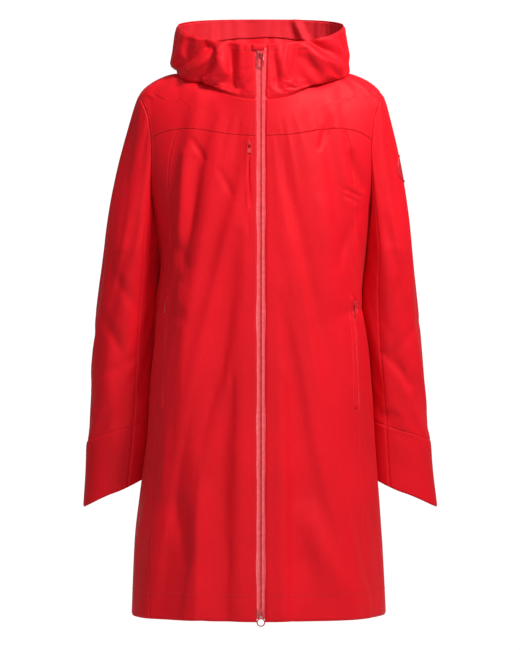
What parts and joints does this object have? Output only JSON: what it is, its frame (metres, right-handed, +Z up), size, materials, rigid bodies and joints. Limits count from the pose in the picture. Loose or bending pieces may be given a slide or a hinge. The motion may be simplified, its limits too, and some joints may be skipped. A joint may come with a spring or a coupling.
{
  "type": "hardshell jacket",
  "caption": "Thigh-length hooded waterproof shell jacket with a two-way front zip, shaped cuffs and zipped pockets.",
  "frame": {"origin": "the loop at the back of the neck, where the jacket hangs from a hook", "axes": "+Z up from hem to hood, -Y out of the front with the zip, +X towards the wearer's left sleeve"},
  "size_m": [0.5914, 0.3047, 0.9981],
  "materials": {
    "shell_fabric": "matt waterproof woven face",
    "lining_fabric": "smooth backed inner face",
    "zip_film": "glossy film over woven tape",
    "zip_coil": "moulded nylon coil",
    "coated_metal": "gloss red enamel",
    "metal_stop": "satin",
    "label_cloth": "plain satin",
    "patch": "woven patch with a stitched edge"
  },
  "bodies": {
    "shell": {"front_yoke_right": "shell_fabric", "front_yoke_left": "shell_fabric", "front_panel_right": "shell_fabric", "front_panel_left": "shell_fabric", "side_front_right": "shell_fabric", "side_front_left": "shell_fabric", "side_back_right": "shell_fabric", "side_back_left": "shell_fabric", "back_panel": "shell_fabric", "back_yoke": "shell_fabric", "collar_right": "shell_fabric", "collar_left": "shell_fabric", "collar_facing": "lining_fabric", "hem_facing": "lining_fabric", "storm_flap": "lining_fabric", "zip_tape_right": "zip_film", "zip_tape_left": "zip_film", "zip_coil_right": "zip_coil", "zip_coil_left": "zip_coil", "zip_top_stops": "metal_stop", "zip_bottom_pin": "metal_stop", "zip_garage": "shell_fabric", "pocket_welt_right": "shell_fabric", "pocket_welt_left": "shell_fabric", "pocket_zip_right": "zip_film", "pocket_zip_left": "zip_film", "pocket_bag_right": "lining_fabric", "pocket_bag_left": "lining_fabric", "chest_pocket_zip": "zip_film", "chest_pocket_bag": "lining_fabric", "neck_tape": "lining_fabric", "hang_loop": "lining_fabric", "size_label": "label_cloth"},
    "hood": {"hood_side_right": "shell_fabric", "hood_side_left": "shell_fabric", "hood_centre": "shell_fabric", "hood_rim_facing": "lining_fabric"},
    "right_sleeve": {"sleeve_top_right": "shell_fabric", "sleeve_under_right": "shell_fabric", "cuff_right": "shell_fabric", "cuff_facing_right": "lining_fabric"},
    "left_sleeve": {"sleeve_top_left": "shell_fabric", "sleeve_under_left": "shell_fabric", "cuff_left": "shell_fabric", "cuff_facing_left": "lining_fabric", "sleeve_badge": "patch"},
    "top_runner": {"top_slider": "coated_metal"},
    "top_tab": {"top_pull": "coated_metal"},
    "bottom_runner": {"bottom_slider": "coated_metal"},
    "bottom_ring": {"bottom_pull": "coated_metal"},
    "right_pocket_runner": {"pocket_slider_right": "coated_metal"},
    "right_pocket_tab": {"pocket_pull_right": "coated_metal"},
    "left_pocket_runner": {"pocket_slider_left": "coated_metal"},
    "left_pocket_tab": {"pocket_pull_left": "coated_metal"},
    "chest_runner": {"chest_slider": "coated_metal"},
    "chest_tab": {"chest_pull": "coated_metal"}
  },
  "joints": [
    {"name": "hood_tilt", "type": "hinge", "parent": "shell", "child": "hood", "pos_m": [0, 0.076, 0], "axis": [1, 0, 0], "range_deg": [-50, 0]},
    {"name": "right_sleeve_lift", "type": "hinge", "parent": "shell", "child": "right_sleeve", "pos_m": [-0.2045, 0, -0.046], "axis": [0, 1, 0], "range_deg": [0, 60]},
    {"name": "left_sleeve_lift", "type": "hinge", "parent": "shell", "child": "left_sleeve", "pos_m": [0.2045, 0, -0.046], "axis": [0, -1, 0], "range_deg": [0, 60]},
    {"name": "top_zip_slide", "type": "slide", "parent": "shell", "child": "top_runner", "axis": [0, -0.0694, -0.9976], "range_m": [0, 0.52]},
    {"name": "top_pull_swing", "type": "hinge", "parent": "top_runner", "child": "top_tab", "pos_m": [0, -0.08851, 0.01709], "axis": [-1, 0, 0], "range_deg": [0, 150]},
    {"name": "bottom_zip_slide", "type": "slide", "parent": "shell", "child": "bottom_runner", "axis": [0, 0.0694, 0.9976], "range_m": [0, 0.33]},
    {"name": "bottom_pull_swing", "type": "hinge", "parent": "bottom_runner", "child": "bottom_ring", "pos_m": [0, -0.15142, -0.88776], "axis": [-1, 0, 0], "range_deg": [-3, 150]},
    {"name": "right_pocket_slide", "type": "slide", "parent": "shell", "child": "right_pocket_runner", "axis": [-0.0478, -0.071, -0.9963], "range_m": [0, 0.165]},
    {"name": "right_pocket_pull_swing", "type": "hinge", "parent": "right_pocket_runner", "child": "right_pocket_tab", "pos_m": [-0.15606, -0.05626, -0.38903], "axis": [-0.6441, 0.7646, -0.0236], "range_deg": [0, 120]},
    {"name": "left_pocket_slide", "type": "slide", "parent": "shell", "child": "left_pocket_runner", "axis": [0.0478, -0.071, -0.9963], "range_m": [0, 0.165]},
    {"name": "left_pocket_pull_swing", "type": "hinge", "parent": "left_pocket_runner", "child": "left_pocket_tab", "pos_m": [0.15606, -0.05626, -0.38903], "axis": [-0.6441, -0.7646, 0.0236], "range_deg": [0, 120]},
    {"name": "chest_zip_slide", "type": "slide", "parent": "shell", "child": "chest_runner", "axis": [0, -0.0694, -0.9976], "range_m": [0, 0.095]},
    {"name": "chest_pull_swing", "type": "hinge", "parent": "chest_runner", "child": "chest_tab", "pos_m": [-0.019, -0.09731, -0.12889], "axis": [-1, 0, 0], "range_deg": [0, 150]}
  ]
}
